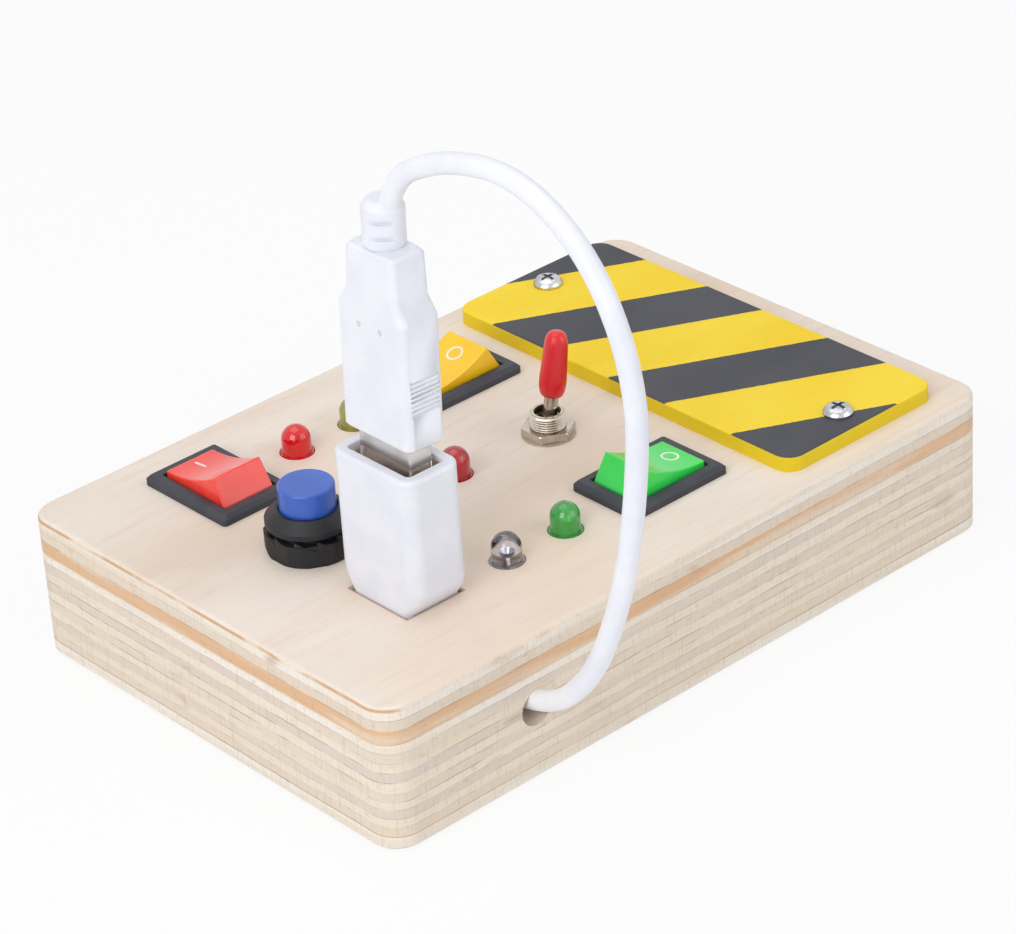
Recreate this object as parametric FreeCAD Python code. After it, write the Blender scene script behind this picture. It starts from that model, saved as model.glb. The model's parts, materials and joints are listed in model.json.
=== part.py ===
import FreeCAD, Part
import math
import os

# Busy board: a plywood box with switches, lamps, a plug on a lead and a striped battery cover.
# Millimetres. +X runs along the long side towards the striped cover, +Z is up, and the origin
# is the middle of the base on the table. Heights of fittings are measured from the top face.

# Driving sizes
LENGTH, WIDTH, TOP = 134.0, 89.7, 25.7
CORNER_R = 5.0
PANEL_T, COVER_T, WALL = 6.7, 1.9, 8.0
PANEL_Z = TOP - PANEL_T

# Each rocker's middle and the direction of its raised end: 0 is +X, -90 is -Y and 180 is -X
ROCKER_SPOTS = {"red_rocker": (-40.7, 26.5, -90), "yellow_rocker": (9.1, 26.0, 0),
                "green_rocker": (8.1, -24.6, 180)}
BEZEL_L, BEZEL_W, BEZEL_H = 21.0, 15.0, 1.8
HOUSING_L, HOUSING_W, HOUSING_D = 18.8, 12.8, 12.6
OPEN_L, OPEN_W = 16.5, 10.9
PIVOT_H, ROCK_DEG = -0.7, 15.2

LAMP_X, LAMP_Y = (-24.2, -11.5), (26.5, 1.0, -25.4)
LAMP_R, LAMP_DOME_Z = 2.5, 2.5

TOGGLE_X, TOGGLE_Y, TOGGLE_TILT = 7.9, -0.6, 10.5
BUTTON_X, BUTTON_Y = -42.3, 1.2

SOCKET_X, SOCKET_Y = -40.8, -20.1
SOCKET_W, SOCKET_T, MOUTH_Z = 18.6, 11.3, 24.6
FOOT_W, TAPER_Z = 13.4, 4.2
PLUG_BASE_Z, PLUG_TILT = 28.2, 1.9
PLUG_W, PLUG_T = 15.6, 7.8
SHELL_W, SHELL_T, SHELL_L = 12.0, 4.5, 11.75

CABLE_D, CABLE_HOLE_R = 3.4, 3.0
HOLE_X, HOLE_Z = -36.85, 12.6
# Route of the cable, from inside the plug's sleeve over to the hole in the front wall
ROUTE = [(-39.4, -20.1, 81.5), (-39.25, -20.2, 95.5), (-39.1, -33.5, 103.8), (-38.9, -50.5, 106.5),
         (-38.6, -65.0, 97.8), (-38.2, -72.6, 80.5), (-37.8, -70.9, 61.0), (-37.4, -66.0, 40.5),
         (-37.1, -58.0, 23.0), (-36.85, -45.8, 12.6), (-36.85, -32.0, 12.6)]

PLATE_X, PLATE_Y, PLATE_L, PLATE_W, PLATE_T = 42.1, 0.4, 35.2, 81.6, 2.8
PLATE_SCREWS = ((41.4, 35.2), (41.4, -35.2))
CELL_R, CELL_L, CELL_GAP = 5.2, 44.5, 11.8
TRAY_L, TRAY_W, TRAY_D = 25.4, 53.0, 12.6
COVER_SCREWS = ((61.9, 39.7), (-61.9, 39.7), (61.9, -39.7), (-61.9, -39.7))

V = FreeCAD.Vector
os.makedirs("parts", exist_ok=True)


def save(name, shape):
    shape = shape.removeSplitter()
    solids = shape.Solids
    if len(solids) != 1 or not shape.isValid():
        print("CHECK", name, "solids", len(solids), "valid", shape.isValid())
    if len(solids) == 1:
        shape = solids[0]
    shape.exportStep("parts/" + name + ".step")
    b = shape.BoundBox
    print("%-24s %7.2f %7.2f %7.2f  %7.2f %7.2f %7.2f" %
          (name, b.XMin, b.YMin, b.ZMin, b.XMax, b.YMax, b.ZMax))
    return shape


def box(x0, x1, y0, y1, z0, z1):
    return Part.makeBox(x1 - x0, y1 - y0, z1 - z0, V(x0, y0, z0))


def block(cx, cy, lx, ly, z0, z1):
    return box(cx - lx / 2, cx + lx / 2, cy - ly / 2, cy + ly / 2, z0, z1)


def rod(x, y, z0, z1, r):
    return Part.makeCylinder(r, z1 - z0, V(x, y, z0))


def cone(x, y, z0, z1, r0, r1):
    return Part.makeCone(r0, r1, z1 - z0, V(x, y, z0))


def round_wire(cx, cy, z, lx, ly, r):
    hx, hy, k = lx / 2, ly / 2, r * (1 - math.sqrt(0.5))
    p = [V(cx - hx + r, cy - hy, z), V(cx + hx - r, cy - hy, z), V(cx + hx, cy - hy + r, z),
         V(cx + hx, cy + hy - r, z), V(cx + hx - r, cy + hy, z), V(cx - hx + r, cy + hy, z),
         V(cx - hx, cy + hy - r, z), V(cx - hx, cy - hy + r, z)]
    m = [V(cx + hx - k, cy - hy + k, z), V(cx + hx - k, cy + hy - k, z),
         V(cx - hx + k, cy + hy - k, z), V(cx - hx + k, cy - hy + k, z)]
    edges = []
    for i in range(4):
        edges.append(Part.LineSegment(p[2 * i], p[2 * i + 1]).toShape())
        edges.append(Part.Arc(p[2 * i + 1], m[i], p[(2 * i + 2) % 8]).toShape())
    return Part.Wire(edges)


def slab(cx, cy, lx, ly, r, z0, z1):
    return Part.Face(round_wire(cx, cy, z0, lx, ly, r)).extrude(V(0, 0, z1 - z0))


def stack(cx, cy, sections):
    """A solid through rounded rectangles, each (z, size in X, size in Y, corner radius)."""
    wires = [round_wire(cx, cy, z, lx, ly, r) for z, lx, ly, r in sections]
    return Part.makeLoft(wires, True, True)


def turned(x, y, points):
    """A solid turned about the vertical line through (x, y), from (radius, z) points."""
    wire = Part.makePolygon([V(x + r, y, z) for r, z in points + points[:1]])
    return Part.Face(wire).revolve(V(x, y, 0), V(0, 0, 1), 360)


def hexagon(x, y, z0, z1, flats, start=0.0):
    r = flats / math.sqrt(3)
    pts = [V(x + r * math.cos(math.radians(start + 60 * i)),
             y + r * math.sin(math.radians(start + 60 * i)), z0) for i in range(7)]
    return Part.Face(Part.makePolygon(pts)).extrude(V(0, 0, z1 - z0))


def level_edges(shape, z):
    return [e for e in shape.Edges if all(abs(v.Z - z) < 1e-4 for v in e.Vertexes)
            and abs(e.BoundBox.ZMin - z) < 1e-3 and abs(e.BoundBox.ZMax - z) < 1e-3]


def soften(shape, z, r):
    return shape.makeFillet(r, level_edges(shape, z))


def bevel(shape, z, r):
    return shape.makeChamfer(r, level_edges(shape, z))


def moved(shape, spot):
    """From a fitting's own frame, at the top face, to its place on the board."""
    x, y, turn = spot
    s = shape.copy()
    s.rotate(V(0, 0, 0), V(0, 0, 1), turn)
    s.translate(V(x, y, TOP))
    return s


# Wooden box: top panel over a hollow frame, with a thin cover below
panel = slab(0, 0, LENGTH, WIDTH, CORNER_R, PANEL_Z, TOP)
panel = soften(panel, TOP, 0.9)
panel = bevel(panel, PANEL_Z, 0.25)
for spot in ROCKER_SPOTS.values():
    panel = panel.cut(moved(block(0, 0, HOUSING_L + 0.3, HOUSING_W + 0.3, -9, 1), spot))
for x in LAMP_X:
    for y in LAMP_Y:
        panel = panel.cut(rod(x, y, PANEL_Z - 1, TOP + 1, 3.0))
panel = panel.cut(rod(TOGGLE_X, TOGGLE_Y, PANEL_Z - 1, TOP + 1, 3.15))
panel = panel.cut(rod(BUTTON_X, BUTTON_Y, PANEL_Z - 1, TOP + 1, 6.1))
panel = panel.cut(block(SOCKET_X, SOCKET_Y, SOCKET_T + 0.4, FOOT_W + 0.4, PANEL_Z - 1, TOP + 1))
panel = panel.cut(block(PLATE_X, PLATE_Y, TRAY_L + 0.4, TRAY_W + 0.4, PANEL_Z - 1, TOP + 1))
for x, y in PLATE_SCREWS:
    panel = panel.cut(rod(x, y, TOP - 6.2, TOP + 1, 1.45))
save("top_panel", panel)

frame = slab(0, 0, LENGTH, WIDTH, CORNER_R, COVER_T, PANEL_Z)
frame = bevel(frame, PANEL_Z, 0.25)
frame = frame.cut(slab(0, 0, LENGTH - 2 * WALL, WIDTH - 2 * WALL, 3.0, 0, TOP))
frame = frame.cut(Part.makeCylinder(CABLE_HOLE_R, WALL + 2,
                                    V(HOLE_X, -WIDTH / 2 - 1, HOLE_Z), V(0, 1, 0)))
for x, y in COVER_SCREWS:
    frame = frame.cut(rod(x, y, 0, 10.2, 1.45))
save("body_frame", frame)

cover = bevel(slab(0, 0, LENGTH, WIDTH, CORNER_R, 0, COVER_T), 0, 0.4)
for x, y in COVER_SCREWS:
    cover = cover.cut(rod(x, y, -1, 3, 1.6)).cut(cone(x, y, 0, 1.55, 2.95, 1.4))
save("bottom_cover", cover)


def cross(x, y, z, size, depth):
    return block(x, y, size, size * 0.22, z - depth, z + 1).fuse(
        block(x, y, size * 0.22, size, z - depth, z + 1))


for i, (x, y) in enumerate(COVER_SCREWS):
    s = turned(x, y, [(0, 0.1), (2.7, 0.1), (1.35, 1.5), (1.35, 8.5), (0, 10.0)])
    save("cover_screw_%d" % (i + 1), s.cut(cross(x, y, -0.3, 2.6, 0).fuse(
        block(x, y, 2.6, 0.6, 0, 0.8)).fuse(block(x, y, 0.6, 2.6, 0, 0.8))))

# Striped cover plate and its two pan-head screws
plate = slab(PLATE_X, PLATE_Y, PLATE_L, PLATE_W, 3.2, TOP, TOP + PLATE_T)
plate = soften(plate, TOP + PLATE_T, 0.5)
for x, y in PLATE_SCREWS:
    plate = plate.cut(rod(x, y, TOP - 1, TOP + 9, 1.5))
save("hazard_plate", plate)
for i, (x, y) in enumerate(PLATE_SCREWS):
    z = TOP + PLATE_T
    s = turned(x, y, [(0, z - 8.6), (1.35, z - 7.6), (1.35, z), (2.6, z), (2.6, z + 0.45),
                      (2.1, z + 1.15), (1.2, z + 1.5), (0, z + 1.6)])
    save("plate_screw_%d" % (i + 1), s.cut(cross(x, y, z + 1.6, 2.9, 1.1)))

# Battery tray with two cells side by side along Y
z0 = TOP - 0.2 - TRAY_D
tray = block(PLATE_X, PLATE_Y, TRAY_L, TRAY_W, z0, TOP - 0.2)
tray = tray.cut(block(PLATE_X, PLATE_Y, TRAY_L - 2.0, TRAY_W - 2.6, z0 + 1.0, TOP))
tray = tray.fuse(block(PLATE_X, PLATE_Y, 0.9, TRAY_W - 4.0, z0 + 0.5, z0 + 4.5))
save("battery_tray", tray)
cell_z = z0 + 1.1 + CELL_R
for i, side in enumerate((-1, 1)):
    x, y0 = PLATE_X + side * CELL_GAP / 2, PLATE_Y - side * CELL_L / 2
    s = Part.makeCylinder(CELL_R, CELL_L - 1.0, V(x, y0, cell_z), V(0, side, 0))
    s = s.fuse(Part.makeCylinder(1.9, 1.0, V(x, y0 + side * (CELL_L - 1), cell_z), V(0, side, 0)))
    save("battery_cell_%d" % (i + 1), s)
for i, side in enumerate((-1, 1)):
    y = PLATE_Y + side * (TRAY_W / 2 - 1.3 - 0.25)
    s = block(PLATE_X, y, 22.0, 0.5, z0 + 1.4, z0 + 10.6)
    for k in (-1, 1):
        x = PLATE_X + k * CELL_GAP / 2
        s = s.fuse(Part.makeCone(3.4, 1.3, 2.1, V(x, y - side * 0.25, cell_z), V(0, -side, 0)))
    save("battery_contact_%d" % (i + 1), s)

# Three rocker switches, each modelled lying along its own X axis with the raised end at +X
housing = stack(0, 0, [(0, BEZEL_L, BEZEL_W, 0.8), (BEZEL_H - 0.7, BEZEL_L, BEZEL_W, 0.8),
                       (BEZEL_H, BEZEL_L - 1.4, BEZEL_W - 1.4, 0.4)])
housing = housing.fuse(block(0, 0, HOUSING_L, HOUSING_W, -HOUSING_D, 0.2))
housing = housing.cut(block(0, 0, OPEN_L, OPEN_W, -6.6, 3))
housing = housing.cut(Part.makeCylinder(1.1, HOUSING_W + 2, V(0, -HOUSING_W / 2 - 1, PIVOT_H),
                                        V(0, 1, 0)))
terminal = block(0, 0, 0.8, 4.7, -HOUSING_D - 6.0, -HOUSING_D)
terminal = terminal.cut(Part.makeCylinder(0.9, 4, V(-2, 0, -HOUSING_D - 3.8), V(1, 0, 0)))

arc_top = Part.Arc(V(6.68, 0, 5.15), V(0, 0, 4.25), V(-6.68, 0, 5.15)).toShape()
outline = [V(-6.68, 0, 5.15), V(-8.05, 0, -0.4), V(-7.2, 0, -1.6), V(-2.6, 0, -3.4),
           V(2.6, 0, -3.4), V(7.2, 0, -1.6), V(8.05, 0, -0.4), V(6.68, 0, 5.15)]
side_wire = Part.Wire([arc_top] + Part.makePolygon(outline).Edges)
paddle = Part.Face(side_wire).extrude(V(0, 10.3, 0))
paddle.translate(V(0, -5.15, 0))
for s in (-1, 1):
    wedge = Part.makePolygon([V(-10, s * 5.15, 0), V(-10, s * 4.8, 6), V(-10, s * 8, 6),
                              V(-10, s * 8, 0), V(-10, s * 5.15, 0)])
    paddle = paddle.cut(Part.Face(wedge).extrude(V(20, 0, 0)))
ridge = [e for e in paddle.Edges if abs(e.BoundBox.XMax - e.BoundBox.XMin) < 0.05
         and e.BoundBox.ZMin > 5.0 and e.Length > 8]
paddle = paddle.makeFillet(0.3, ridge)
paddle = paddle.fuse(Part.makeCylinder(1.05, 12.6, V(0, -6.3, 0), V(0, 1, 0)))
paddle.rotate(V(0, 0, 0), V(0, 1, 0), -ROCK_DEG)
paddle.translate(V(0, 0, PIVOT_H))
for name, place in ROCKER_SPOTS.items():
    save(name + "_housing", moved(housing, place))
    save(name + "_paddle", moved(paddle, place))
    for k, dx in enumerate((-4.0, 4.0)):
        t = terminal.copy()
        t.translate(V(dx, 0, 0))
        save("%s_terminal_%d" % (name, k + 1), moved(t, place))

# Indicator lamps: domes with a small flange in slightly larger holes
NAMES = {(0, 0): "lamp_red", (1, 0): "lamp_yellow", (1, 1): "lamp_red_clear",
         (0, 1): "lamp_blue", (0, 2): "lamp_clear", (1, 2): "lamp_green"}
for (i, j), name in NAMES.items():
    x, y, z = LAMP_X[i], LAMP_Y[j], TOP
    lamp = rod(x, y, z - 3.2, z + LAMP_DOME_Z, LAMP_R)
    lamp = lamp.fuse(rod(x, y, z - 1.0, z + 0.05, 2.85))
    ball = Part.makeSphere(LAMP_R, V(x, y, z + LAMP_DOME_Z))
    lamp = lamp.fuse(ball.common(block(x, y, 8, 8, z + LAMP_DOME_Z, z + 9)))
    save(name, lamp)

# Toggle switch: body below the panel, threaded bush, washer, nut, lever and soft sleeve
x, y, z = TOGGLE_X, TOGGLE_Y, TOP
save("toggle_body", block(x, y, 12.8, 7.9, z - PANEL_T - 9.4, z - PANEL_T))
WASHER_T, NUT_T, NUT_FLATS, PITCH = 0.35, 1.4, 8.1, 0.45
nut_top = z + WASHER_T + NUT_T
profile = [(2.05, z - PANEL_T), (3.0, z - PANEL_T), (3.0, nut_top)]
h = nut_top
while h < z + 3.8:
    profile += [(3.06, h + 0.05), (2.8, h + 0.25), (3.06, h + PITCH)]
    h += PITCH
profile += [(2.75, h + 0.2), (2.75, z + 4.4), (2.3, z + 4.4), (2.3, z + 3.2), (2.05, z + 2.6)]
save("toggle_bush", turned(x, y, profile))
save("toggle_washer", rod(x, y, z, z + WASHER_T, 4.6).cut(rod(x, y, z - 1, z + 1, 3.08)))
nut = hexagon(x, y, z + WASHER_T, nut_top, NUT_FLATS, 30.0)
nut = nut.common(cone(x, y, z + WASHER_T, nut_top, 5.4, 4.5))
save("toggle_nut", nut.cut(rod(x, y, z, z + 3, 3.08)))
PIVOT = V(x, y, z + 0.5)
lever = Part.makeSphere(1.95, PIVOT).fuse(rod(x, y, z - 3.4, z + 0.5, 0.8))
lever = lever.fuse(cone(x, y, z + 0.5, z + 8.5, 1.15, 1.25))
lever = lever.fuse(cone(x, y, z + 8.5, z + 16.6, 1.25, 1.45))
sleeve = turned(x, y, [(0, z + 18.4), (0.9, z + 18.3), (1.5, z + 17.8), (1.9, z + 16.8),
                       (2.05, z + 15.5), (2.3, z + 9.9), (2.25, z + 8.2), (1.95, z + 7.2),
                       (1.7, z + 7.0), (0, z + 7.0)])
sleeve = sleeve.cut(lever)
for s in (lever, sleeve):
    s.rotate(PIVOT, V(0, 1, 0), TOGGLE_TILT)
save("toggle_lever", lever)
save("toggle_sleeve", sleeve)
for k, dx in enumerate((-4.0, 4.0)):
    save("toggle_terminal_%d" % (k + 1),
         block(x + dx, y, 0.8, 2.0, z - PANEL_T - 13.4, z - PANEL_T - 9.4))

# Push button: barrel with a coned collar, a toothed nut on the board and a blue cap
x, y, z = BUTTON_X, BUTTON_Y, TOP
barrel = turned(x, y, [(4.85, z - 1.0), (4.85, z + 7.6), (5.35, z + 7.6), (7.15, z + 5.9),
                       (7.15, z + 5.0), (6.0, z + 4.9), (6.0, z - 13.0), (0, z - 13.0),
                       (0, z - 3.5), (2.1, z - 3.5), (2.1, z - 1.0)])
save("button_barrel", barrel)
nut = hexagon(x, y, z, z + 3.9, 14.0, 30.0).common(rod(x, y, z, z + 3.9, 7.45))
nut = nut.common(cone(x, y, z, z + 8.0, 7.15, 9.2))
for k in range(12):
    tooth = Part.makePolygon([V(5.5, 0, 3.0), V(5.5, 0, 4.7), V(5.5, 3.3, 3.0), V(5.5, 0, 3.0)])
    tooth = Part.Face(tooth).extrude(V(3, 0, 0))
    tooth.rotate(V(0, 0, 0), V(0, 0, 1), 30 * k)
    tooth.translate(V(x, y, z))
    nut = nut.fuse(tooth.common(rod(x, y, z, z + 6, 7.2)))
save("button_nut", nut.cut(rod(x, y, z - 1, z + 6, 6.05)))
cap = rod(x, y, z + 1.8, z + 11.7, 4.65)
cap = soften(cap, z + 11.7, 0.45).fuse(rod(x, y, z - 0.9, z + 2.0, 1.9))
save("button_cap", cap)
for k, dx in enumerate((-3.0, 3.0)):
    save("button_terminal_%d" % (k + 1), block(x + dx, y, 0.6, 2.4, z - 17.0, z - 13.0))

# Socket: white housing standing in its slot, metal shell with a flared lip, tongue
x, y, z = SOCKET_X, SOCKET_Y, TOP
sock = stack(x, y, [(z, SOCKET_T, FOOT_W, 1.5), (z + 2.2, SOCKET_T, 16.9, 2.0),
                    (z + TAPER_Z, SOCKET_T, SOCKET_W, 2.5)])
upper = slab(x, y, SOCKET_T, SOCKET_W, 2.5, z + TAPER_Z, z + MOUTH_Z)
sock = sock.fuse(soften(upper, z + MOUTH_Z, 0.7))
sock = sock.fuse(slab(x, y, SOCKET_T, FOOT_W, 1.5, z - 9.0, z))
sock = sock.cut(slab(x, y, 7.4, 14.6, 0.8, z + MOUTH_Z - 2.0, z + 40))
sock = sock.cut(slab(x, y, 5.9, 13.2, 0.3, z + MOUTH_Z - 15.0, z + 40))
save("usb_socket_housing", sock)
lip = Part.makeLoft([round_wire(x, y, z + MOUTH_Z - 2.0, 5.8, 13.1, 0.4),
                     round_wire(x, y, z + MOUTH_Z - 0.7, 7.2, 14.4, 0.7)], True, True)
hole = Part.makeLoft([round_wire(x, y, z + MOUTH_Z - 2.0, 5.3, 12.6, 0.3),
                      round_wire(x, y, z + MOUTH_Z - 0.7, 6.7, 13.9, 0.6)], True, True)
liner = lip.fuse(slab(x, y, 5.8, 13.1, 0.3, z + MOUTH_Z - 14.6, z + MOUTH_Z - 2.0))
liner = liner.cut(hole).cut(slab(x, y, 5.3, 12.6, 0.25, z + MOUTH_Z - 20, z + MOUTH_Z - 2.0))
save("usb_socket_liner", liner)
tongue = block(x + 0.9, y, 1.2, 10.8, z + MOUTH_Z - 14.9, z + MOUTH_Z - 3.2)
tongue = tongue.fuse(block(x, y, 5.2, 12.4, z + MOUTH_Z - 14.9, z + MOUTH_Z - 13.2))
save("usb_socket_tongue", tongue)

# Plug, built upright over the socket and leaned by a small angle towards +X
LEAN = V(x, y, z + MOUTH_Z - 5.0)


def leaned(shape):
    s = shape.copy()
    s.rotate(LEAN, V(0, 1, 0), PLUG_TILT)
    return s


def cable_path(points):
    pts = [V(*p) for p in points]
    edges, start, radii = [], pts[0], []
    for a, b, c in zip(pts, pts[1:], pts[2:]):
        u, w = (b - a), (c - b)
        run = min(u.Length, w.Length)
        u.normalize()
        w.normalize()
        half = u.getAngle(w) / 2
        t = 0.45 * run
        radius = t / math.tan(half)
        radii.append(round(radius, 1))
        p, q = b - u * t, b + w * t
        into = (w - u)
        into.normalize()
        mid = b + into * (radius / math.cos(half) - radius)
        edges.append(Part.LineSegment(start, p).toShape())
        edges.append(Part.Arc(p, mid, q).toShape())
        start = q
    edges.append(Part.LineSegment(start, pts[-1]).toShape())
    print("cable bend radii", radii)
    return Part.Wire(edges)


path = cable_path(ROUTE)
heading = V(*ROUTE[1]) - V(*ROUTE[0])
ring = Part.Wire([Part.makeCircle(CABLE_D / 2, V(*ROUTE[0]), heading)])
cable = path.makePipeShell([ring], True, False)
area = math.pi * CABLE_D ** 2 / 4
print("cable length %.1f volume %.1f expected %.1f" % (path.Length, cable.Volume, area * path.Length))
save("usb_cable", cable)

b = z + PLUG_BASE_Z
over = stack(x, y, [(b, PLUG_T - 1.0, PLUG_W - 1.0, 1.0), (b + 0.6, PLUG_T, PLUG_W, 1.4),
                    (b + 21.4, PLUG_T, PLUG_W - 0.2, 1.4), (b + 24.2, 7.5, 11.6, 1.3),
                    (b + 31.0, 7.2, 11.0, 1.2), (b + 31.9, 5.8, 9.6, 0.9)])
for k in range(8):
    for s in (-1, 1):
        over = over.cut(block(x, y + s * PLUG_W / 2, 5.6, 0.5, b + 6.2 + 0.78 * k,
                              b + 6.55 + 0.78 * k))
over = leaned(over).cut(cable)
save("usb_plug_body", over)
sleeve = turned(x, y, [(0, b + 31.9), (3.2, b + 31.9), (3.4, b + 32.6), (3.4, b + 38.2),
                       (3.0, b + 38.9), (0, b + 38.9)])
for zs in (33.6, 36.2):
    for s in (-1, 1):
        slit = block(0, s * 4.4, 9.0, 3.4, b + zs, b + zs + 0.7)
        slit.rotate(V(0, 0, 0), V(0, 0, 1), -45)
        slit.translate(V(x, y, 0))
        sleeve = sleeve.cut(slit)
save("usb_plug_sleeve", leaned(sleeve).cut(cable))
shell = slab(x, y, SHELL_T, SHELL_W, 0.35, b - SHELL_L, b)
shell = shell.cut(slab(x, y, SHELL_T - 0.6, SHELL_W - 0.6, 0.1, b - SHELL_L - 1, b - 0.5))
for s in (-1, 1):
    shell = shell.cut(block(x, y + s * 2.9, 9, 2.3, b - SHELL_L + 4.2, b - SHELL_L + 6.4))
save("usb_plug_shell", leaned(shell))
save("usb_plug_insert", leaned(block(x - 1.06, y, 1.7, SHELL_W - 0.7, b - SHELL_L + 0.4, b - 0.5)))
stop = Part.makeCylinder(4.4, 3.0, V(HOLE_X, -WIDTH / 2 + WALL, HOLE_Z), V(0, 1, 0))
stop = stop.cut(Part.makeCylinder(CABLE_D / 2 + 0.05, 9, V(HOLE_X, -WIDTH / 2 + 6, HOLE_Z),
                                  V(0, 1, 0)))
save("cable_stop", stop)
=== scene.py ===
import json
import math

import bmesh
import bpy
from mathutils import Matrix, Vector

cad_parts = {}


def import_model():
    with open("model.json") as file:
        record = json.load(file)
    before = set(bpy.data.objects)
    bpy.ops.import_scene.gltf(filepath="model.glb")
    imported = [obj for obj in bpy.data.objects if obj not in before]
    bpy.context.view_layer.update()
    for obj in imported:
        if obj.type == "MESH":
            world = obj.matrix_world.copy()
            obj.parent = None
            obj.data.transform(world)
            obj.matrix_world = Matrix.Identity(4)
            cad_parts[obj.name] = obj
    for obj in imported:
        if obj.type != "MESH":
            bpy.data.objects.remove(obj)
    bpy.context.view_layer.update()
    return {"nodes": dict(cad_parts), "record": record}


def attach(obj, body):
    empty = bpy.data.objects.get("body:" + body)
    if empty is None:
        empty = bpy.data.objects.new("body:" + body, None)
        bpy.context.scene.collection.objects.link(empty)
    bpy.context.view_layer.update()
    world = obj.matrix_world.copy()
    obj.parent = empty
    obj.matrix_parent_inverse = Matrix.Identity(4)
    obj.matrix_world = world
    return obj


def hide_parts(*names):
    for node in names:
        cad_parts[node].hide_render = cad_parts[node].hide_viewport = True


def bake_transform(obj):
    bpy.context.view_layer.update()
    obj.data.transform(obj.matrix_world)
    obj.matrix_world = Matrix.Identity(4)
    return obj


# A wooden busy board: plywood box, switches, lamps, a plug on a white lead and a striped cover.
# Lengths are millimetres in the row frame.

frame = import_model()
NODES = frame["nodes"]
BODY = {n: b for b, names in frame["record"]["behaviour"]["bodies"].items() for n in names}
MM = 0.001
TOP = 25.7
SOCKET_AT = (-40.8, -20.1)
TOGGLE_AT = (7.9, -0.6)
HOLE_X, HOLE_Z = -36.85, 12.6
SHARP_DEG = 35


# Shader building

def rgb(r, g, b):
    """A colour written as 0 to 255 screen values, as the linear values that sockets take."""
    def lin(v):
        v /= 255.0
        return v / 12.92 if v <= 0.04045 else ((v + 0.055) / 1.055) ** 2.4
    return (lin(r), lin(g), lin(b), 1.0)


class Shade:
    """A material whose pattern is worked out in the object's own coordinates."""

    def __init__(self, name, rough, **sockets):
        self.mat = bpy.data.materials.new(name)
        self.mat.use_nodes = True
        self.tree = self.mat.node_tree
        self.bsdf = self.tree.nodes["Principled BSDF"]
        self.place = self.add("ShaderNodeTexCoord").outputs["Object"]
        self.height = None
        self.feed("Base Color", (1, 1, 1, 1))
        self.feed("Roughness", rough)
        for key, value in sockets.items():
            self.bsdf.inputs[key.replace("_", " ")].default_value = value

    def add(self, kind, **settings):
        n = self.tree.nodes.new(kind)
        for key, value in settings.items():
            setattr(n, key, value)
        return n

    def put(self, socket, value):
        if isinstance(value, bpy.types.NodeSocket):
            self.tree.links.new(value, socket)
        else:
            socket.default_value = value

    def feed(self, name, value):
        self.put(self.bsdf.inputs[name], value)

    def calc(self, op, a, b=0.0, c=0.0):
        n = self.add("ShaderNodeMath", operation=op)
        for i, v in enumerate((a, b, c)):
            self.put(n.inputs[i], v)
        return n.outputs[0]

    def xyz(self):
        n = self.add("ShaderNodeSeparateXYZ")
        self.put(n.inputs[0], self.place)
        return n.outputs

    def normal(self):
        n = self.add("ShaderNodeSeparateXYZ")
        self.put(n.inputs[0], self.add("ShaderNodeNewGeometry").outputs["Normal"])
        return n.outputs

    def noise(self, size, stretch=(1, 1, 1), detail=3.0, rough=0.55, shift=(0, 0, 0)):
        """Noise whose features are about `size` mm, drawn out by `stretch` along each axis."""
        m = self.add("ShaderNodeMapping")
        self.put(m.inputs["Vector"], self.place)
        m.inputs["Location"].default_value = shift
        m.inputs["Scale"].default_value = [1000.0 / (size * s) for s in stretch]
        n = self.add("ShaderNodeTexNoise")
        self.put(n.inputs["Vector"], m.outputs[0])
        n.inputs["Scale"].default_value = 1.0
        n.inputs["Detail"].default_value = detail
        n.inputs["Roughness"].default_value = rough
        return n.outputs[0]

    def ramp(self, value, stops, mode="LINEAR"):
        n = self.add("ShaderNodeValToRGB")
        n.color_ramp.interpolation = mode
        e = n.color_ramp.elements
        while len(e) > 1:
            e.remove(e[-1])
        e[0].position, e[0].color = stops[0]
        for p, c in stops[1:]:
            e.new(p).color = c
        self.put(n.inputs[0], value)
        return n.outputs[0]

    def band(self, value, low, high):
        """0 at low and 1 at high, held outside them."""
        n = self.add("ShaderNodeMapRange", interpolation_type="SMOOTHSTEP")
        for key, v in (("Value", value), ("From Min", low), ("From Max", high)):
            self.put(n.inputs[key], v)
        return n.outputs[0]

    def mix(self, amount, a, b):
        n = self.add("ShaderNodeMix", data_type="RGBA")
        self.put(n.inputs["Factor"], amount)
        self.put(n.inputs[6], a)
        self.put(n.inputs[7], b)
        return n.outputs[2]

    def tint(self, under, where, low, high, most, over):
        """`over` laid on `under`, from nothing at low to the share `most` at high."""
        return self.mix(self.calc("MULTIPLY", self.band(where, low, high), most), under, over)

    def length(self, a, b):
        """Length of the flat vector (a, b)."""
        return self.calc("SQRT", self.calc("ADD", self.calc("MULTIPLY", a, a),
                                           self.calc("MULTIPLY", b, b)))

    def bump(self, value, depth, strength):
        """Adds relief of about `depth` mm; further calls stack on the first."""
        n = self.add("ShaderNodeBump")
        n.inputs["Strength"].default_value = strength
        n.inputs["Distance"].default_value = depth * MM
        self.put(n.inputs["Height"], value)
        if self.height is not None:
            self.put(n.inputs["Normal"], self.height)
        self.height = n.outputs[0]
        self.feed("Normal", self.height)


def rect_gap(s, x, y, middle, hx, hy):
    """Distance in metres from a point to a rectangle lying in the top face."""
    cx, cy = middle
    dx = s.calc("MAXIMUM", s.calc("SUBTRACT", s.calc("ABSOLUTE", s.calc(
        "SUBTRACT", x, cx * MM)), hx * MM), 0.0)
    dy = s.calc("MAXIMUM", s.calc("SUBTRACT", s.calc("ABSOLUTE", s.calc(
        "SUBTRACT", y, cy * MM)), hy * MM), 0.0)
    return s.length(dx, dy)


# Plywood: pale veneer on top, plies by height on the edges

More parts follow.
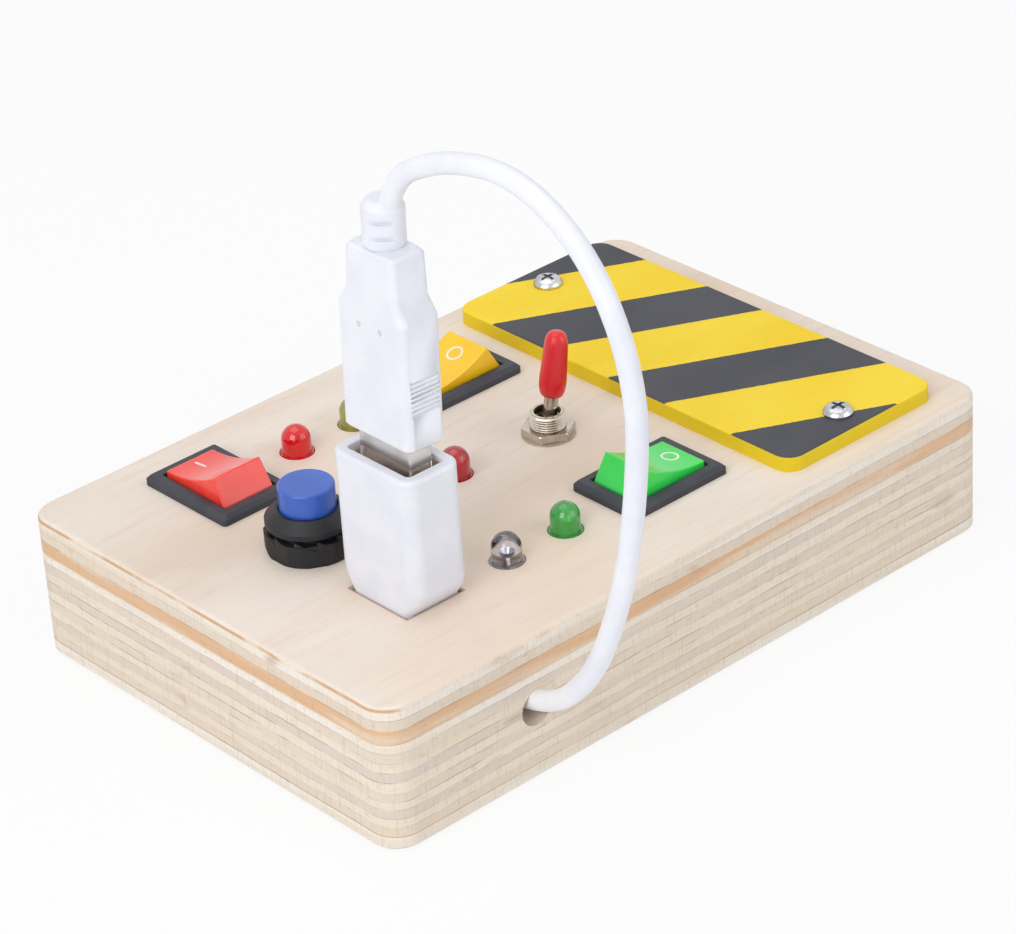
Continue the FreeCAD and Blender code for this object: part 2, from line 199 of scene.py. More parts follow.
def plywood():
    s = Shade("birch_plywood", 0.62, Specular_IOR_Level=0.3)
    x, y, z = s.xyz()
    nx, _, nz = s.normal()

    # Top veneer with faint figure drawn out along X
    cloud = s.noise(26, (2.6, 1, 1), 3, 0.5)
    face = s.ramp(cloud, [(0.3, rgb(230, 213, 197)), (0.47, rgb(235, 221, 208)),
                          (0.62, rgb(239, 228, 217)), (0.8, rgb(232, 215, 200))])
    streak = s.noise(1.6, (16, 1, 1), 5, 0.6)
    face = s.tint(face, streak, 0.5, 0.72, 0.30, rgb(218, 196, 172))
    pores = s.noise(0.45, (9, 1, 1), 4, 0.65)
    face = s.tint(face, pores, 0.56, 0.74, 0.26, rgb(196, 169, 138))
    warm = s.noise(44, (1, 1, 1), 1, 0.4, (7, 3, 0))
    face = s.tint(face, warm, 0.5, 0.72, 0.32, rgb(240, 211, 184))

    # Burnt edges of the socket's slot, with a faint stain round it
    rim = rect_gap(s, x, y, SOCKET_AT, 5.85, 6.9)
    burn = s.calc("SUBTRACT", 1.0, s.band(rim, 0.0, 0.0005))
    face = s.mix(s.calc("MULTIPLY", burn, 0.75), face, rgb(128, 72, 40))
    halo = s.calc("SUBTRACT", 1.0, s.band(rim, 0.0, 0.005))
    face = s.mix(s.calc("MULTIPLY", halo, 0.14), face, rgb(226, 190, 154))

    # Plies on the edges, as depth below the top face in mm, with a little waviness
    wave = s.calc("MULTIPLY", s.calc("SUBTRACT", s.noise(15, (1.4, 1.4, 9), 2, 0.5), 0.5), 0.0006)
    depth = s.calc("SUBTRACT", TOP * MM, s.calc("ADD", z, wave))
    cream, light, grey = rgb(236, 224, 208), rgb(241, 234, 225), rgb(225, 211, 195)
    mauve, tan, orange = rgb(221, 207, 195), rgb(230, 209, 182), rgb(223, 181, 142)
    brown, glue = rgb(200, 170, 136), rgb(150, 128, 108)
    plies = [(0.0, cream), (0.9, light), (2.2, grey), (4.05, orange), (6.45, tan), (6.8, light),
             (8.1, mauve), (9.9, cream), (11.6, mauve), (13.4, cream), (15.2, grey),
             (16.9, cream), (18.4, mauve), (20.0, cream), (21.5, grey), (23.1, brown),
             (23.35, light)]
    edge = s.ramp(s.calc("DIVIDE", depth, TOP * MM), [(d / TOP, c) for d, c in plies], "CONSTANT")
    # Plies blend into each other in places, and differ from one stretch of the edge to the next
    patch = s.noise(24, (2.0, 2.0, 0.12), 3, 0.5, (5, 2, 4))
    edge = s.tint(edge, patch, 0.42, 0.62, 0.68, rgb(230, 217, 199))
    hollow, filled = (0, 0, 0, 1), (1, 1, 1, 1)
    joints = []
    for d in (2.2, 4.05, 6.6, 8.15, 9.9, 11.6, 13.4, 15.2, 16.9, 18.4, 20.0, 21.5, 23.2):
        joints += [((d - 0.06) / TOP, filled), ((d + 0.07) / TOP, hollow)]
    seam = s.ramp(s.calc("DIVIDE", depth, TOP * MM), [(0.0, hollow)] + joints, "CONSTANT")
    gaps = s.band(s.noise(5, (2.2, 2.2, 0.5), 4, 0.65, (2, 8, 6)), 0.42, 0.6)
    seam = s.calc("MULTIPLY", seam, gaps)
    edge = s.mix(s.calc("MULTIPLY", seam, 0.6), edge, glue)
    soft = s.noise(9, (2.2, 2.2, 0.22), 3, 0.55)
    edge = s.tint(edge, soft, 0.45, 0.75, 0.3, rgb(232, 207, 174))
    saw = s.noise(0.5, (0.7, 0.7, 7), 4, 0.6)
    edge = s.tint(edge, saw, 0.48, 0.75, 0.34, rgb(186, 165, 144))
    fleck = s.noise(0.9, (2.6, 2.6, 0.3), 3, 0.6, (3, 9, 1))
    edge = s.tint(edge, fleck, 0.6, 0.75, 0.45, rgb(150, 124, 102))
    knot = s.noise(11, (1.5, 1.5, 0.5), 2, 0.5, (11, 5, 2))
    edge = s.tint(edge, knot, 0.66, 0.78, 0.5, rgb(168, 122, 88))
    # Brown line of glue just under the rounded top edge on the -X side
    line = s.calc("MULTIPLY", s.calc("COMPARE", depth, 0.00055, 0.00022), s.band(nx, -0.1, -0.5))
    broken = s.band(s.noise(3.5, (1, 2.5, 1), 2), 0.38, 0.52)
    edge = s.mix(s.calc("MULTIPLY", s.calc("MULTIPLY", line, broken), 0.7), edge, rgb(196, 140, 84))
    # Inside of the cable's hole is scorched
    reach = s.length(s.calc("SUBTRACT", x, HOLE_X * MM), s.calc("SUBTRACT", z, HOLE_Z * MM))
    bored = s.calc("MULTIPLY", s.calc("LESS_THAN", reach, 0.00306), s.band(y, -0.036, -0.0375))
    edge = s.mix(s.calc("MULTIPLY", bored, 0.6), edge, rgb(176, 122, 78))

    upward = s.band(nz, 0.55, 0.9)
    s.feed("Base Color", s.mix(upward, edge, face))
    s.feed("Roughness", s.calc("ADD", 0.55, s.calc("MULTIPLY", pores, 0.2)))
    s.bump(s.mix(upward, s.mix(0.5, saw, fleck), pores), 0.05, 0.5)
    return s.mat


def striped_board():
    s = Shade("hazard_paint", 0.5, Specular_IOR_Level=0.35)
    x, y, _ = s.xyz()
    nz = s.normal()[2]
    grit = s.noise(0.35, (1.8, 1, 1), 4, 0.65)
    slow = s.noise(12, (2, 1, 1), 2, 0.5)
    yellow = s.ramp(slow, [(0.3, rgb(250, 212, 36)), (0.7, rgb(253, 223, 60))])
    yellow = s.tint(yellow, grit, 0.5, 0.8, 0.3, rgb(228, 186, 24))
    dark = s.ramp(slow, [(0.3, rgb(62, 63, 70)), (0.7, rgb(73, 74, 81))])
    dark = s.tint(dark, grit, 0.5, 0.8, 0.4, rgb(92, 93, 97))
    # Stripes fall towards +X, and a dark one begins at `start`
    pitch, dark_part, slope, start = 29.15, 13.6, 0.521, (24.5, 17.9)
    ragged = s.calc("MULTIPLY", s.calc("SUBTRACT", s.noise(0.9, (1, 1, 1), 3), 0.5), 0.00035)
    t = s.calc("ADD", s.calc("ADD", y, ragged),
               s.calc("MULTIPLY", s.calc("SUBTRACT", x, start[0] * MM), slope))
    t = s.calc("FRACT", s.calc("DIVIDE", s.calc("SUBTRACT", t, start[1] * MM), pitch * MM))
    stripe = s.calc("LESS_THAN", t, dark_part / pitch)
    side = s.tint(rgb(232, 203, 26), grit, 0.45, 0.8, 0.3, rgb(204, 172, 18))
    top = s.mix(stripe, yellow, dark)
    s.feed("Base Color", s.mix(s.band(nz, 0.45, 0.7), side, top))
    s.feed("Roughness", s.calc("ADD", 0.42, s.calc("MULTIPLY", grit, 0.25)))
    s.bump(grit, 0.04, 0.45)
    return s.mat


def plastic(name, colour, shade, rough, grain, depth, uneven=0.14, **sockets):
    """Moulded plastic: slow colour drift, fine skin texture and uneven polish."""
    s = Shade(name, rough, **sockets)
    slow = s.noise(6, (1, 1, 1), 2, 0.5)
    fine = s.noise(grain, (1, 1, 1), 3, 0.6)
    s.feed("Base Color", s.mix(s.band(slow, 0.3, 0.75), colour, shade))
    s.feed("Roughness", s.calc("ADD", rough - uneven / 2, s.calc("MULTIPLY", fine, uneven)))
    s.bump(fine, depth, 0.4)
    return s


def metal(name, colour, shade, rough, along=(1, 1, 1), depth=0.006, uneven=0.18):
    """Metal with slow staining and fine scratches, drawn out by `along`."""
    s = Shade(name, rough, Metallic=1.0)
    scratch = s.noise(0.25, along, 4, 0.65)
    stain = s.noise(3.2, (1, 1, 1), 3, 0.55)
    s.feed("Base Color", s.mix(s.band(stain, 0.35, 0.75), colour, shade))
    s.feed("Roughness", s.calc("ADD", rough - uneven / 2, s.calc("MULTIPLY", scratch, uneven)))
    s.bump(scratch, depth, 0.35)
    return s.mat


def lens(name, colour, clear, rough=0.06):
    """Lamp epoxy: tinted and partly see-through, with faint streaks in the casting."""
    s = Shade(name, rough, IOR=1.5, Transmission_Weight=clear,
              Coat_Weight=0.4, Coat_Roughness=0.05)
    cast = s.noise(1.6, (1, 1, 2), 2, 0.5)
    s.feed("Base Color", s.mix(s.band(cast, 0.3, 0.7), colour,
                               tuple(v * 0.86 for v in colour[:3]) + (1.0,)))
    s.feed("Roughness", s.calc("ADD", rough, s.calc("MULTIPLY", cast, 0.05)))
    s.bump(cast, 0.003, 0.15)
    return s.mat


def plug_plastic():
    """The plug's white plastic, with two small gate marks on its wide side, their hollows greyed
    with painted shade.
    """
    s = plastic("plug_plastic", rgb(235, 237, 244), rgb(228, 231, 241), 0.4, 0.4, 0.012,
                Subsurface_Weight=0.12, Subsurface_Scale=0.0012)
    _, y, z = s.xyz()
    nx = s.normal()[0]
    pit_relief_and_shade = None
    for py, pz in ((-17.6, 73.0), (-22.4, 73.0)):
        dy = s.calc("SUBTRACT", y, py * MM)
        dz = s.calc("SUBTRACT", z, pz * MM)
        pit = s.calc("SUBTRACT", 1.0, s.band(s.length(dy, dz), 0.0002, 0.0006))
        pit_relief_and_shade = pit if pit_relief_and_shade is None else s.calc("MAXIMUM", pit_relief_and_shade, pit)
    pit_relief_and_shade = s.calc("MULTIPLY", pit_relief_and_shade, s.calc("LESS_THAN", nx, -0.6))
    base = s.bsdf.inputs["Base Color"].links[0].from_socket
    # The pits are greyed towards blue-grey: painted shade in the hollows, on top of the real relief
    # that the bump below gives them.
    s.feed("Base Color", s.mix(s.calc("MULTIPLY", pit_relief_and_shade, 0.35), base, rgb(176, 180, 196)))
    s.bump(s.calc("SUBTRACT", 1.0, pit_relief_and_shade), 0.25, 0.8)
    return s.mat


def cell_print():
    """Printed sleeve of a battery cell: a dark band round its middle, plain brown at its ends."""
    s = Shade("cell_sleeve", 0.35, Metallic=0.4)
    y = s.xyz()[1]
    fine = s.noise(0.5, (1, 6, 1), 3)
    band = s.calc("LESS_THAN", s.calc("ABSOLUTE", s.calc("SUBTRACT", y, 0.0004)), 0.012)
    body = s.mix(band, rgb(150, 112, 60), rgb(52, 54, 60))
    s.feed("Base Color", s.mix(s.calc("MULTIPLY", fine, 0.2), body, rgb(120, 120, 124)))
    s.bump(fine, 0.01, 0.3)
    return s.mat


black = plastic("black_plastic", rgb(22, 23, 27), rgb(33, 34, 39), 0.46, 0.22, 0.03,
                Specular_IOR_Level=0.4).mat
bezel_black = plastic("bezel_black", rgb(54, 56, 63), rgb(64, 66, 73), 0.55, 0.16, 0.035,
                      Specular_IOR_Level=0.4).mat
GLOSS = dict(rough=0.24, grain=1.2, depth=0.001, uneven=0.04, Subsurface_Weight=0.1,
             Subsurface_Scale=0.0009, Coat_Weight=0.3, Coat_Roughness=0.1)
red = plastic("rocker_red", rgb(250, 70, 56), rgb(242, 58, 46), **GLOSS).mat
yellow = plastic("rocker_yellow", rgb(255, 206, 8), rgb(254, 198, 2), **GLOSS).mat
green = plastic("rocker_green", rgb(48, 226, 86), rgb(38, 216, 74), **GLOSS).mat
blue = plastic("button_blue", rgb(56, 102, 198), rgb(46, 90, 186), 0.3, 0.6, 0.003, 0.06,
               Coat_Weight=0.2, Coat_Roughness=0.12).mat
vinyl = plastic("sleeve_vinyl", rgb(236, 16, 34), rgb(216, 10, 28), 0.3, 1.6, 0.02, 0.08,
                Subsurface_Weight=0.1, Subsurface_Scale=0.001, Coat_Weight=0.25,
                Coat_Roughness=0.08).mat
nickel = metal("nickel", rgb(206, 197, 187), rgb(178, 167, 156), 0.22)
shell_steel = metal("shell_steel", rgb(218, 213, 208), rgb(200, 193, 186), 0.2, (1, 1, 5), 0.001,
                    0.06)
zinc = metal("zinc", rgb(206, 207, 211), rgb(164, 165, 170), 0.28)
brass = metal("brass", rgb(206, 172, 104), rgb(180, 146, 84), 0.28)
ink = plastic("mark_white", rgb(250, 246, 240), rgb(242, 236, 230), 0.45, 0.2, 0.004).mat
leadframe = metal("leadframe", rgb(216, 214, 220), rgb(176, 176, 190), 0.3)
white = plastic("white_plastic", rgb(233, 235, 243), rgb(226, 229, 240), 0.42, 0.4, 0.012,
                Subsurface_Weight=0.12, Subsurface_Scale=0.0012).mat
plug_white, wood, stripes = plug_plastic(), plywood(), striped_board()

LENSES = {
    "lamp_red": lens("lens_red", rgb(236, 14, 22), 0.12),
    "lamp_red_clear": lens("lens_red_dim", rgb(222, 44, 50), 0.4),
    "lamp_yellow": lens("lens_yellow", rgb(206, 204, 92), 0.6),
    "lamp_blue": lens("lens_blue", rgb(70, 110, 214), 0.5),
    "lamp_clear": lens("lens_clear", rgb(248, 248, 255), 1.0, 0.0),
    "lamp_green": lens("lens_green", rgb(78, 206, 92), 0.5),
}
FINISH = {"plywood": wood, "striped_board": stripes, "zinc_screw": zinc, "black_plastic": black,
          "cell_sleeve": cell_print(), "nickel": nickel, "brass": brass, "red_plastic": red,
          "yellow_plastic": yellow, "green_plastic": green, "blue_plastic": blue,
          "red_vinyl": vinyl, "white_plastic": white, "cable_jacket": white}
SLOT = {p["node"]: p["material_slot"] for p in frame["record"]["subparts"]}
for node, slot in SLOT.items():
    mat = LENSES.get(node) or FINISH[slot]
    if node.endswith("rocker_housing"):
        mat = bezel_black
    if node in ("usb_plug_shell", "usb_socket_liner"):
        mat = shell_steel
    NODES[node].data.materials.clear()
    NODES[node].data.materials.append(mat)


# Mesh building

def finished(bm, name):
    """The shape built so far as a mesh, with its faces turned outwards."""
    bmesh.ops.recalc_face_normals(bm, faces=bm.faces)
    mesh = bpy.data.meshes.new(name)
    bm.to_mesh(mesh)
    bm.free()
    return mesh


def piece(name, mesh, mat, body, smooth=SHARP_DEG):
    """An object of the scene with its one material, shaded smooth and sharp past `smooth` degrees,
    that rides with a body when one is given.
    """
    mesh.materials.clear()
    mesh.materials.append(mat)
    mesh.shade_smooth()
    mesh.set_sharp_from_angle(angle=math.radians(smooth))
    ob = bpy.data.objects.new(name, mesh)
    bpy.context.collection.objects.link(ob)
    if body:
        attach(ob, body)
    return ob


def modified(mesh, kind, **settings):
    """The mesh as one modifier leaves it."""
    tmp = bpy.data.objects.new("tmp", mesh)
    bpy.context.collection.objects.link(tmp)
    mod = tmp.modifiers.new("step", kind)
    for key, value in settings.items():
        setattr(mod, key, value)
    bpy.context.view_layer.update()
    done = bpy.data.meshes.new_from_object(
        tmp.evaluated_get(bpy.context.evaluated_depsgraph_get()))
    bpy.data.objects.remove(tmp)
    return done


def softened(node, width, steps, angle=28, mat=None, shortest=0.0):
    """The node's own shape with its sharp edges rounded, standing for it.

    Edges under `shortest` mm stay as they are, and so do those that meet one of them."""
    bm = bmesh.new()
    bm.from_mesh(NODES[node].data)
    bmesh.ops.remove_doubles(bm, verts=bm.verts, dist=1e-6)
    bmesh.ops.dissolve_limit(bm, angle_limit=math.radians(0.5), verts=bm.verts, edges=bm.edges)
    weight = bm.edges.layers.float.new("bevel_weight_edge")
    fine = {v for e in bm.edges if e.calc_length() < shortest * MM for v in e.verts}
    for e in bm.edges:
        sharp = e.calc_face_angle(0.0) > math.radians(angle)
        e[weight] = float(sharp and not fine.intersection(e.verts))
    mesh = bpy.data.meshes.new(node + "_soft")
    bm.to_mesh(mesh)
    bm.free()
    mesh = modified(mesh, "BEVEL", width=width * MM, segments=steps, limit_method="WEIGHT",
                    use_clamp_overlap=True)
    mesh.shade_smooth()
    mesh.set_sharp_from_angle(angle=math.radians(SHARP_DEG))
    done = modified(mesh, "WEIGHTED_NORMAL", keep_sharp=True)
    ob = piece(node + "_rounded", done, mat or NODES[node].data.materials[0], BODY[node])
    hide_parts(node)
    return ob


def lathe(profile, steps=48):
    """A closed mesh turned about Z from (radius, z) points in mm."""
    bm = bmesh.new()
    rings = []
    for r, z in profile:
        if r < 1e-6:
            rings.append([bm.verts.new((0, 0, z * MM))])
        else:
            rings.append([bm.verts.new((r * MM * math.cos(2 * math.pi * k / steps),
                                        r * MM * math.sin(2 * math.pi * k / steps), z * MM))
                          for k in range(steps)])
    for a, b in zip(rings, rings[1:]):
        for k in range(steps):
            j = (k + 1) % steps
            corners = [a[k % len(a)], a[j % len(a)], b[j % len(b)], b[k % len(b)]]
            face = []
            for v in corners:
                if v not in face:
                    face.append(v)
            if len(face) > 2:
                bm.faces.new(face)
    return finished(bm, "lathe")


def curved(points, n=3):
    """Points of a smooth line through the given ones."""
    out = []
    for i in range(len(points) - 1):
        p0, p1 = points[max(i - 1, 0)], points[i]
        p2, p3 = points[i + 1], points[min(i + 2, len(points) - 1)]
        for k in range(n):
            t = k / n
            out.append(tuple(0.5 * ((2 * b) + (c - a) * t + (2 * a - 5 * b + 4 * c - d) * t * t
                                    + (3 * b - a - 3 * c + d) * t ** 3)
                             for a, b, c, d in zip(p0, p1, p2, p3)))
    out.append(points[-1])
    return out


softened("usb_socket_housing", 0.35, 3)
plug_body = softened("usb_plug_body", 0.55, 4, 14, plug_white, 0.5)
plug_sleeve = softened("usb_plug_sleeve", 0.18, 2, 30, plug_white)
for colour in ("red", "yellow", "green"):
    softened(colour + "_rocker_housing", 0.22, 2, 40)
    softened(colour + "_rocker_paddle", 0.22, 3, 40)
softened("button_nut", 0.18, 2, 30)
softened("toggle_nut", 0.1, 2, 30)
softened("plate_screw_1", 0.08, 2, 35)
softened("plate_screw_2", 0.08, 2, 35)


# Soft sleeve on the toggle, leaning with its lever
sleeve_mesh = lathe(curved([(1.62, 7.0), (1.8, 7.06), (1.98, 7.35), (2.16, 7.9), (2.28, 8.8),
                            (2.3, 9.9), (2.22, 11.6), (2.14, 13.6), (2.05, 15.5), (1.95, 16.6),
                            (1.68, 17.55), (1.2, 18.15), (0.6, 18.38), (0.0, 18.42)])
                    + [(0.0, 17.2), (1.36, 16.7), (1.36, 7.2), (1.62, 7.0)])
lean = (Matrix.Translation(Vector((*TOGGLE_AT, TOP + 0.5)) * MM)
        @ Matrix.Rotation(math.radians(10.5), 4, "Y") @ Matrix.Translation((0, 0, -0.5 * MM)))
sleeve_mesh.transform(lean)
sleeve = piece("toggle_soft_sleeve", sleeve_mesh, vinyl, "toggle", 50)
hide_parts("toggle_sleeve")


# Soft lip that closes on the cable at the top of the plug's sleeve
lip_mesh = lathe(curved([(0.0, 37.4), (2.6, 37.4), (2.98, 37.9), (3.02, 38.6), (2.85, 39.1),
                         (2.35, 39.45), (1.6, 39.5), (0.0, 39.5)]))
# Heights above the top face: of the point the plug leans about, and of its lower end
LEAN_Z, PLUG_BASE_Z = 19.6, 28.2
PLUG_LEAN = Matrix.Rotation(math.radians(1.9), 4, "Y")
lip_mesh.transform(Matrix.Translation(Vector((*SOCKET_AT, TOP + LEAN_Z)) * MM)
                   @ PLUG_LEAN @ Matrix.Translation((0, 0, (PLUG_BASE_Z - LEAN_Z) * MM)))
piece("plug_sleeve_lip", lip_mesh, plug_white, "plug", 50)


# White marks on the rockers, lying on their hollow tops

def rocker_matrix(x, y, turn):
    """From a paddle's own axes, hinge along Y and its raised end on +X, to the board's."""
    return (Matrix.Translation(Vector((x, y, TOP)) * MM)
            @ Matrix.Rotation(math.radians(turn), 4, "Z")
            @ Matrix.Translation((0, 0, -0.7 * MM))
            @ Matrix.Rotation(math.radians(-15.2), 4, "Y"))


HOLLOW_R, HOLLOW_MID = 25.24, 29.49


def on_top(u, v, proud):
    """A point `proud` mm above the paddle's hollow top."""
    return Vector((u, v, HOLLOW_MID - math.sqrt(HOLLOW_R ** 2 - u * u) + proud)) * MM


def mark(name, loops, place, body):
    """A thin printed shape between an outer and an inner outline of (u, v) points."""
    bm = bmesh.new()
    outer, inner = loops
    low, high = -0.03, 0.035
    grid = [[bm.verts.new(on_top(u, v, h)) for u, v in loop]
            for loop, h in ((outer, low), (outer, high), (inner, high), (inner, low))]
    n = len(outer)
    for a, b in zip(grid, grid[1:]):
        for k in range(n):
            bm.faces.new((a[k], a[(k + 1) % n], b[(k + 1) % n], b[k]))
    mesh = finished(bm, name)
    mesh.transform(place)
    return piece(name, mesh, ink, body, 30)


def ring_loops(u0, r_out, r_in, n=40):
    """Outlines of an O whose middle is at u0."""
    turn = [2 * math.pi * k / n for k in range(n)]
    return tuple([(u0 + r * math.cos(a), r * math.sin(a)) for a in turn] for r in (r_out, r_in))


def bar_loops(u0, length, width):
    """Outlines of an I with round ends whose middle is at u0."""
    def outline(inwards):
        h, r = length / 2 - width / 2, width / 2 - inwards
        pts = []
        for middle, first in ((u0 + h, -math.pi / 2), (u0 - h, math.pi / 2)):
            for k in range(9):
                a = first + math.pi * k / 8
                pts.append((middle + r * math.cos(a), r * math.sin(a)))
        return pts
    return outline(0.0), outline(width / 2 - 0.02)


RED = rocker_matrix(-40.7, 26.5, -90)
YELLOW = rocker_matrix(9.1, 26.0, 0)
GREEN = rocker_matrix(8.1, -24.6, 180)
mark("red_mark_i", bar_loops(-3.7, 2.9, 0.42), RED, "red_rocker")
mark("yellow_mark_o", ring_loops(3.2, 1.55, 1.2), YELLOW, "yellow_rocker")
mark("green_mark_o", ring_loops(-3.6, 1.55, 1.2), GREEN, "green_rocker")


# Metal leads inside the lamps: a post, and an anvil with its reflector cup

def leads(name, x, y, turn):
    bm = bmesh.new()
    half = 0.22 * MM
    post = [(-1.5, -3.0), (-1.0, -3.0), (-1.0, -0.6), (-0.5, 0.2), (-0.5, 1.7), (-0.8, 1.9),
            (-1.2, 1.1), (-1.5, 0.5)]
    anvil = [(0.9, -3.0), (1.5, -3.0), (1.5, 0.3), (1.3, 1.0), (0.75, 1.5), (-0.05, 1.5),
             (-0.05, 0.7), (0.5, 0.2), (0.9, -0.6)]
    for shape in (post, anvil):
        a = [bm.verts.new((u * MM, -half, w * MM)) for u, w in shape]
        b = [bm.verts.new((u * MM, half, w * MM)) for u, w in shape]
        bm.faces.new(a)
        bm.faces.new(b)
        for k in range(len(shape)):
            j = (k + 1) % len(shape)
            bm.faces.new((a[k], a[j], b[j], b[k]))
    mesh = finished(bm, name)
    cup = lathe([(0, 1.35), (0.62, 1.35), (0.95, 2.15), (0.82, 2.15), (0.5, 1.6), (0, 1.55)], 24)
    cup.transform(Matrix.Translation((0.35 * MM, 0, 0)))
    join = bmesh.new()
    join.from_mesh(mesh)
    join.from_mesh(cup)
    join.to_mesh(mesh)
    join.free()
    mesh.transform(Matrix.Translation(Vector((x, y, TOP)) * MM) @ Matrix.Rotation(turn, 4, "Z"))
    return piece(name, mesh, leadframe, "board", 30)


LAMPS = {"red": (-24.2, 26.5), "yellow": (-11.5, 26.5), "red_clear": (-11.5, 1.0),
         "blue": (-24.2, 1.0), "clear": (-24.2, -25.4), "green": (-11.5, -25.4)}
for k, (name, (x, y)) in enumerate(LAMPS.items()):
    leads("leads_" + name, x, y, 0.5 + 0.9 * k)


# Cable: a tube along one smooth line from the plug's sleeve to the hole in the front wall
ROUTE = [(-39.4, -20.1, 81.5), (-39.25, -20.2, 95.5), (-39.1, -33.5, 103.8), (-38.9, -50.5, 106.5),
         (-38.6, -65.0, 97.8), (-38.2, -72.6, 80.5), (-37.8, -70.9, 61.0), (-37.4, -66.0, 40.5),
         (-37.1, -58.0, 23.0), (HOLE_X, -45.8, HOLE_Z), (HOLE_X, -32.0, HOLE_Z)]
CABLE_D = 3.4


def smooth_line(points):
    """Points in metres of a smooth curve that follows the given ones."""
    curve = bpy.data.curves.new("cable_line", "CURVE")
    curve.dimensions = "3D"
    spline = curve.splines.new("NURBS")
    spline.points.add(len(points) - 1)
    for p, q in zip(spline.points, points):
        p.co = (q[0] * MM, q[1] * MM, q[2] * MM, 1.0)
    spline.order_u = 3
    spline.use_endpoint_u = True
    spline.resolution_u = 14
    curve.resolution_u = 14
    ob = bpy.data.objects.new("cable_line", curve)
    mesh = bpy.data.meshes.new_from_object(ob)
    line = [v.co.copy() for v in mesh.vertices]
    bpy.data.objects.remove(ob)
    return line


def tube(name, line, radius, sides=20, facing=Vector((-0.55, -0.6, 0.55))):
    """A closed round tube along a line, its rings all turned the same way by `facing`."""
    bm = bmesh.new()
    tangents = [(line[min(i + 1, len(line) - 1)] - line[max(i - 1, 0)]).normalized()
                for i in range(len(line))]
    rings = []
    for p, t in zip(line, tangents):
        n = (facing - t * facing.dot(t)).normalized()
        w = t.cross(n)
        rings.append([bm.verts.new(p + (n * math.cos(a) + w * math.sin(a)) * radius)
                      for a in (2 * math.pi * (k / sides - 0.5) for k in range(sides))])
    for a, b in zip(rings, rings[1:]):
        for k in range(sides):
            j = (k + 1) % sides
            bm.faces.new((a[k], a[j], b[j], b[k]))
    bm.faces.new(rings[0])
    bm.faces.new(rings[-1])
    return finished(bm, name)


line = smooth_line(ROUTE)
jacket = plastic("cable_jacket", rgb(238, 240, 247), rgb(231, 234, 244), 0.34, 0.6, 0.01,
                 Subsurface_Weight=0.15, Subsurface_Scale=0.001).mat
cable = piece("white_cable", tube("white_cable", line, CABLE_D / 2 * MM), jacket, None,
              60)
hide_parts("usb_cable")
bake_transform(cable)


# Floor, world, lights and camera

def shown_directly(tree):
    """1 for rays from the camera and for those that mirror or pass through something."""
    path = tree.nodes.new("ShaderNodeLightPath")
    total = path.outputs["Is Camera Ray"]
    for name in ("Is Glossy Ray", "Is Transmission Ray"):
        either = tree.nodes.new("ShaderNodeMath")
        either.operation = "MAXIMUM"
        tree.links.new(total, either.inputs[0])
        tree.links.new(path.outputs[name], either.inputs[1])
        total = either.outputs[0]
    return total


FLOOR_GREY = 0.86
FLOOR_GLOW = 0.86


def floor():
    """A wide floor that takes shadows, and glows where rays show it directly."""
    mesh = bpy.data.meshes.new("studio_floor")
    mesh.from_pydata([(-3, -3, -0.0002), (3, -3, -0.0002), (3, 3, -0.0002), (-3, 3, -0.0002)],
                     [], [(0, 1, 2, 3)])
    mat = bpy.data.materials.new("studio_white")
    mat.use_nodes = True
    t = mat.node_tree
    out = t.nodes["Material Output"]
    bsdf = t.nodes["Principled BSDF"]
    bsdf.inputs["Base Color"].default_value = (FLOOR_GREY, FLOOR_GREY, FLOOR_GREY, 1)
    bsdf.inputs["Roughness"].default_value = 0.9
    glow = t.nodes.new("ShaderNodeEmission")
    glow.inputs["Color"].default_value = (1, 1, 1, 1)
    glow.inputs["Strength"].default_value = 1.0
    most = t.nodes.new("ShaderNodeMath")
    most.operation = "MULTIPLY"
    t.links.new(shown_directly(t), most.inputs[0])
    most.inputs[1].default_value = FLOOR_GLOW
    mix = t.nodes.new("ShaderNodeMixShader")
    t.links.new(most.outputs[0], mix.inputs[0])
    t.links.new(bsdf.outputs[0], mix.inputs[1])
    t.links.new(glow.outputs[0], mix.inputs[2])
    t.links.new(mix.outputs[0], out.inputs["Surface"])
    mesh.materials.append(mat)
    ob = bpy.data.objects.new("studio_floor", mesh)
    bpy.context.collection.objects.link(ob)


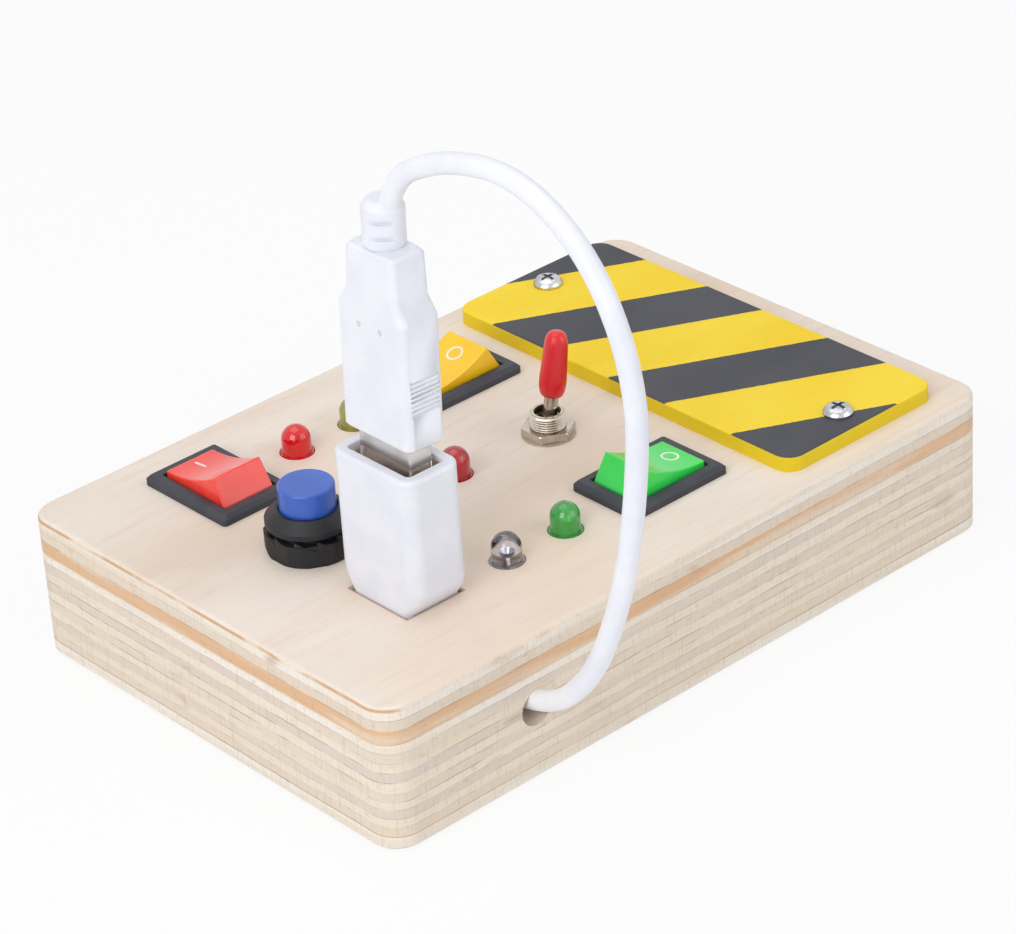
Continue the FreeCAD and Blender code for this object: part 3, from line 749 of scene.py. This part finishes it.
def world():
    """White where rays show it directly, and dimmer for the light that it gives."""
    w = bpy.data.worlds.new("studio")
    bpy.context.scene.world = w
    w.use_nodes = True
    t = w.node_tree
    t.nodes.clear()
    out = t.nodes.new("ShaderNodeOutputWorld")
    lit = t.nodes.new("ShaderNodeBackground")
    shown = t.nodes.new("ShaderNodeBackground")
    shown.inputs["Color"].default_value = (1, 1, 1, 1)
    shown.inputs["Strength"].default_value = 1.0
    # The light it gives is brighter overhead than at the horizon
    co = t.nodes.new("ShaderNodeTexCoord")
    sep = t.nodes.new("ShaderNodeSeparateXYZ")
    ramp = t.nodes.new("ShaderNodeValToRGB")
    e = ramp.color_ramp.elements
    e[0].position, e[0].color = 0.0, (0.62, 0.63, 0.65, 1)
    e[1].position, e[1].color = 0.75, (1, 1, 1, 1)
    t.links.new(co.outputs["Generated"], sep.inputs[0])
    t.links.new(sep.outputs[2], ramp.inputs[0])
    t.links.new(ramp.outputs[0], lit.inputs["Color"])
    lit.inputs["Strength"].default_value = 0.5
    mix = t.nodes.new("ShaderNodeMixShader")
    t.links.new(shown_directly(t), mix.inputs[0])
    t.links.new(lit.outputs[0], mix.inputs[1])
    t.links.new(shown.outputs[0], mix.inputs[2])
    t.links.new(mix.outputs[0], out.inputs["Surface"])


def softbox(name, place, size, power, aim=(0.0, -0.01, 0.03)):
    data = bpy.data.lights.new(name, "AREA")
    data.shape = "SQUARE"
    data.size = size
    data.energy = power
    ob = bpy.data.objects.new(name, data)
    ob.location = place
    ob.rotation_euler = (Vector(aim) - Vector(place)).to_track_quat("-Z", "Y").to_euler()
    bpy.context.collection.objects.link(ob)


def camera():
    """The view that the photograph was taken from."""
    az, el, roll = math.radians(-40.61), math.radians(29.84), math.radians(-3.81)
    back = Vector((math.sin(az) * math.cos(el), -math.cos(az) * math.cos(el), math.sin(el)))
    right = Vector((0, 0, 1)).cross(back).normalized()
    up = back.cross(right)
    c, s = math.cos(roll), math.sin(roll)
    right, up = right * c + up * s, up * c - right * s
    data = bpy.data.cameras.new("photo_view")
    data.sensor_fit = "HORIZONTAL"
    data.sensor_width = 36.0
    data.lens = 138.53
    data.clip_start, data.clip_end = 0.05, 20.0
    ob = bpy.data.objects.new("photo_view", data)
    ob.matrix_world = Matrix.Translation((-0.367343, -0.427301, 0.345725)) @ Matrix(
        (right, up, back)).transposed().to_4x4()
    bpy.context.collection.objects.link(ob)
    bpy.context.scene.camera = ob


floor()
world()
softbox("key", (-0.75, -0.25, 0.5), 0.6, 4.1)
softbox("fill", (0.4, -0.8, 0.4), 0.7, 2.0)
softbox("top", (0.0, 0.2, 0.95), 0.8, 2.5)
camera()
bpy.context.scene.view_settings.view_transform = "Standard"
